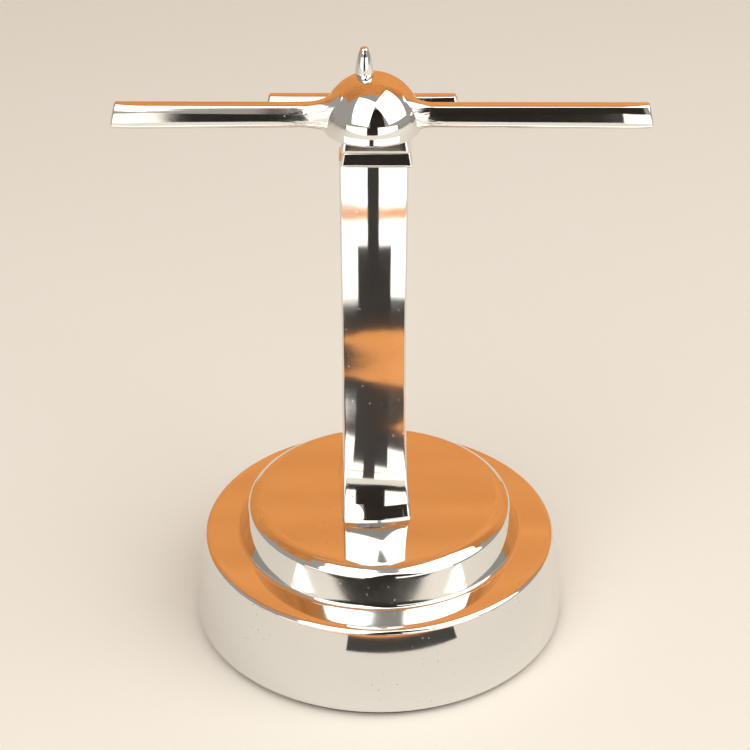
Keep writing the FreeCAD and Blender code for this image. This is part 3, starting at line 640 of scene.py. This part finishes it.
def paintedBoard(name, hexColour, streakColour, roughness, glow=0.0):
    # painted or stained board, with the faint streaks that a roller or the grain leaves; a glow, where given,
    # is painted light: the board shines by itself so the chrome mirrors it bright, in place of room light
    # falling on it
    look = {"streak": 12.82, "streakLength": 277.8, "roughnessSpread": 0.05}
    share = look["streak"] / look["streakLength"]
    material = newMaterial(name)
    where = addNode(material, "ShaderNodeTexCoord").outputs["Object"]
    along = addNode(material, "ShaderNodeMapping", inputs={"Vector": where, "Scale": (share, share, 1.0)})
    grain = addNode(material, "ShaderNodeTexNoise", inputs={
        "Vector": along.outputs["Vector"], "Scale": 1 / (look["streak"] * mm), "Detail": 6.0,
        "Distortion": 0.4})
    colour = addNode(material, "ShaderNodeMix", {"data_type": "RGBA"}, {
        "Factor": grain.outputs["Fac"], "A": toLinear(streakColour), "B": toLinear(hexColour)})
    rough = addNode(material, "ShaderNodeMapRange", inputs={
        "Value": grain.outputs["Fac"], "To Min": roughness - look["roughnessSpread"],
        "To Max": roughness + look["roughnessSpread"]})
    surface = addNode(material, "ShaderNodeBsdfPrincipled", inputs={
        "Base Color": colour.outputs["Result"], "Roughness": rough.outputs["Result"],
        "Emission Color": colour.outputs["Result"], "Emission Strength": glow})
    addNode(material, "ShaderNodeOutputMaterial", inputs={"Surface": surface.outputs["BSDF"]})
    return material


roomLook = {
    "floor": ("#E9E4DC", "#E6E0D7"),
    "warm": ("#D7924E", "#9E5C28"),
    "dark": ("#0C0908", "#060504"),
    "white": ("#FFFDF8", "#F4F1EA"),
    "floorReach": 2500,  # mm
    "cardHeight": 0.4,  # mm above the floor
    "cardStep": 4,  # degrees
    "lamp": "#FFFDF8",
    "world": "#D9D2C8",
    "worldStrength": 0.6,
}
floorPaint = paintedBoard("palePaintedFloor", *roomLook["floor"], 0.85)
reach = roomLook["floorReach"]
newObject("floor", [(-reach, -reach, 0), (reach, -reach, 0), (reach, reach, 0), (-reach, reach, 0)],
                   [(0, 1, 2, 3)], floorPaint)
# the warm boards and white cards glow: painted light, standing in for the room's light falling on them, seen
# only in the chrome
warmGlowPaint = paintedBoard("warmStainedBoardPaintedGlow", *roomLook["warm"], 0.8, glow=0.75)
darkPaint = paintedBoard("darkBoard", *roomLook["dark"], 0.8)
whiteGlowPaint = paintedBoard("whiteCardPaintedGlow", *roomLook["white"], 0.8, glow=0.9)

# The long arms mirror the low board in front of the stand, and at their tips the two cards.
boards = {
    "boardBehind": ([(-1300, 620, 0), (1300, 620, 0), (1300, 500, 1150), (-1300, 500, 1150)], warmGlowPaint),
    "boardAbove": ([(-1300, 500, 1150), (1300, 500, 1150), (1300, -100, 1250), (-1300, -100, 1250)],
                   warmGlowPaint),
    "boardLow": ([(-1200, -640, 0), (1200, -640, 0), (1200, -640, 190), (-1200, -640, 190)], darkPaint),
    "cardTipLeft": ([(-700, -400, 34), (-77, -400, 34), (-77, -400, 165), (-700, -400, 165)], whiteGlowPaint),
    "cardTipRight": ([(94, -400, 34), (700, -400, 34), (700, -400, 165), (94, -400, 165)], whiteGlowPaint),
    "boardMiddle": ([(-70, -900, 100), (480, -800, 100), (420, -800, 1100), (-60, -850, 1100)], darkPaint),
}
for name, (corners, paint) in boards.items():
    mirrorCard(name, corners, [(0, 1, 2, 3)], paint)

# Sectors of rings round the stand's axis, on the floor and outside the view, for the post to mirror as bands:
# first and last degree, with 0 to the front, and nearest and farthest in mm.
floorCards = {
    "flagNear": (-15, 37, 72, 90, darkPaint),
    "ringWarm": (-65, 65, 90, 112, warmGlowPaint),
    "flagAcross": (-65, 65, 112, 127, darkPaint),
    "flagFigure": (-15, 15, 127, 160, darkPaint),
    "cardNearLeft": (-65, -15, 127, 182, whiteGlowPaint),
    "cardNearRight": (15, 65, 127, 182, whiteGlowPaint),
    "cardNearMiddleLeft": (-15, -6, 160, 182, whiteGlowPaint),
    "cardNearMiddleRight": (4, 15, 160, 182, whiteGlowPaint),
    "stripLeft": (-65, -6, 182, 192, warmGlowPaint),
    "stripRight": (4, 65, 182, 192, warmGlowPaint),
    "flagColumn": (-6, 4, 160, 290, darkPaint),
    "cardFarLeft": (-65, -6, 192, 290, whiteGlowPaint),
    "cardFarRight": (4, 65, 192, 290, whiteGlowPaint),
}
for name, (start, end, near, far, paint) in floorCards.items():
    steps = max(round((end - start) / roomLook["cardStep"]), 1)
    angles = [math.radians(start + (end - start) * step / steps) for step in range(steps + 1)]
    points = [(r * math.sin(angle), -r * math.cos(angle), roomLook["cardHeight"])
              for angle in angles for r in (near, far)]
    faces = [(2 * step, 2 * step + 1, 2 * step + 3, 2 * step + 2) for step in range(steps)]
    mirrorCard(name, points, faces, paint)
print("stage: room")


panelShape = {"aim": 100, "elevation": 42, "distance": 900, "height": 1050}  # mm and degrees
panels = {  # degrees round from the front, mm wide, watts
    "panelLeft": (-28, 720, 5.5),
    "panelRight": (66, 980, 6.5),
}
for name, (azimuth, width, power) in panels.items():
    light = bpy.data.lights.new(name, "AREA")
    light.shape = "RECTANGLE"
    light.size, light.size_y = width * mm, panelShape["height"] * mm
    light.energy = power
    light.color = toLinear(roomLook["lamp"])[:3]
    lamp = bpy.data.objects.new(name, light)
    bpy.context.scene.collection.objects.link(lamp)
    turn, rise = math.radians(azimuth), math.radians(panelShape["elevation"])
    toLamp = Vector((math.cos(rise) * math.sin(turn), -math.cos(rise) * math.cos(turn), math.sin(rise)))
    lamp.location = (Vector((0, 0, panelShape["aim"])) + toLamp * panelShape["distance"]) * mm
    lamp.rotation_euler = (-toLamp).to_track_quat("-Z", "Y").to_euler()

world = bpy.data.worlds.new("room")
world.use_nodes = True
world.node_tree.nodes["Background"].inputs["Color"].default_value = toLinear(roomLook["world"])
world.node_tree.nodes["Background"].inputs["Strength"].default_value = roomLook["worldStrength"]
bpy.context.scene.world = world
bpy.context.scene.view_settings.view_transform = "Standard"
print("stage: light")
